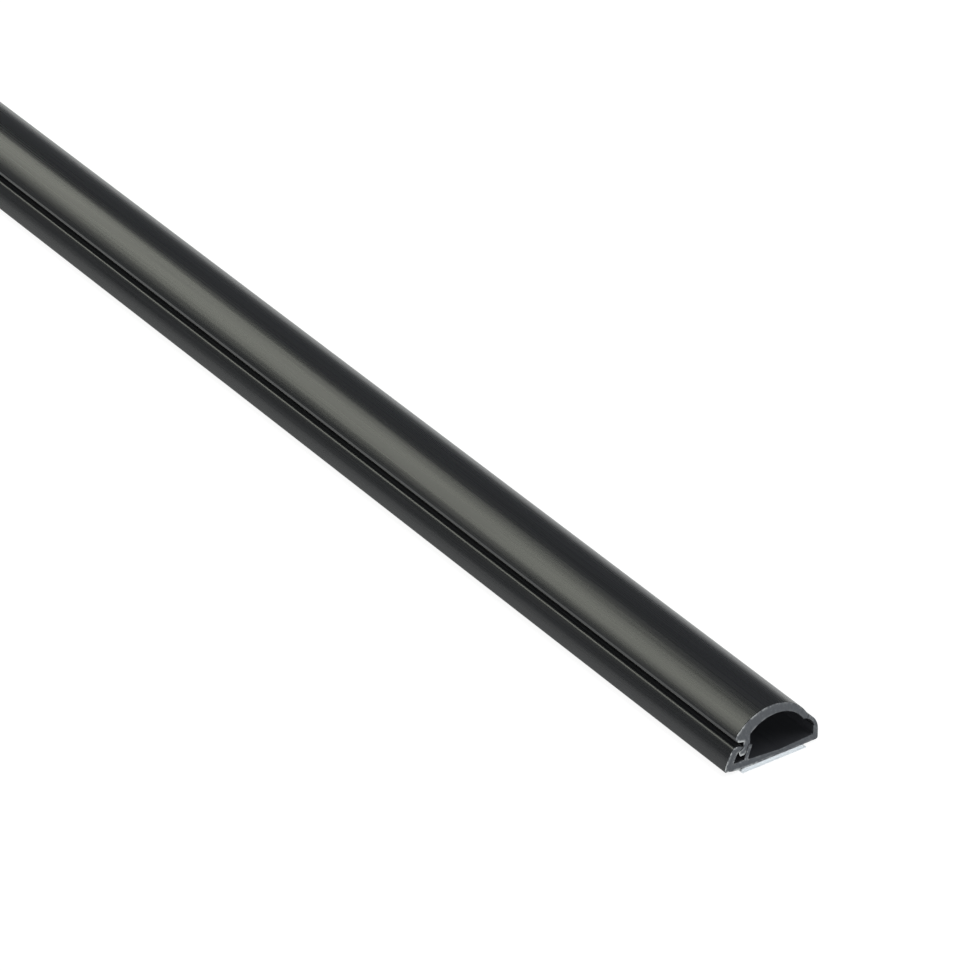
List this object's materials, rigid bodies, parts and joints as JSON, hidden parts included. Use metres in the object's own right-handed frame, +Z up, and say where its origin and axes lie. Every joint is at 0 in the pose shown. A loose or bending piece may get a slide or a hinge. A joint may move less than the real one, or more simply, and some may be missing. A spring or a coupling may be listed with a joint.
{
  "type": "cord cover raceway",
  "caption": "Half-round self-adhesive cord cover raceway: a channel with a hinged, snap-shut arched lid, cut square at both ends.",
  "frame": {"origin": "middle of the stock's length and width, on the outer face of the release liner", "axes": "X along the stock, -Y the catch side where the lid opens, +Y the hinge side, Z up out of the wall it is stuck to"},
  "size_m": [0.4012, 0.0199, 0.0112],
  "materials": {
    "black_pvc": "semi-gloss extruded black PVC, cut faces dull grey-black",
    "black_pvc_web": "satin black, thin flexible hinge web",
    "white_foam_tape": "white closed-cell foam tape with adhesive faces",
    "release_liner": "thin pale blue-white siliconised liner"
  },
  "bodies": {
    "channel": {"base_channel": "black_pvc", "hinge_web": "black_pvc_web", "adhesive_tape": "white_foam_tape", "release_liner": "release_liner"},
    "lid": {"snap_lid": "black_pvc"}
  },
  "joints": [
    {"name": "lid_hinge", "type": "hinge", "parent": "channel", "child": "lid", "pos_m": [0, 0.0088, 0.00483], "axis": [-1, 0, 0], "range_deg": [0, 105], "deforming": ["hinge_web"]}
  ]
}
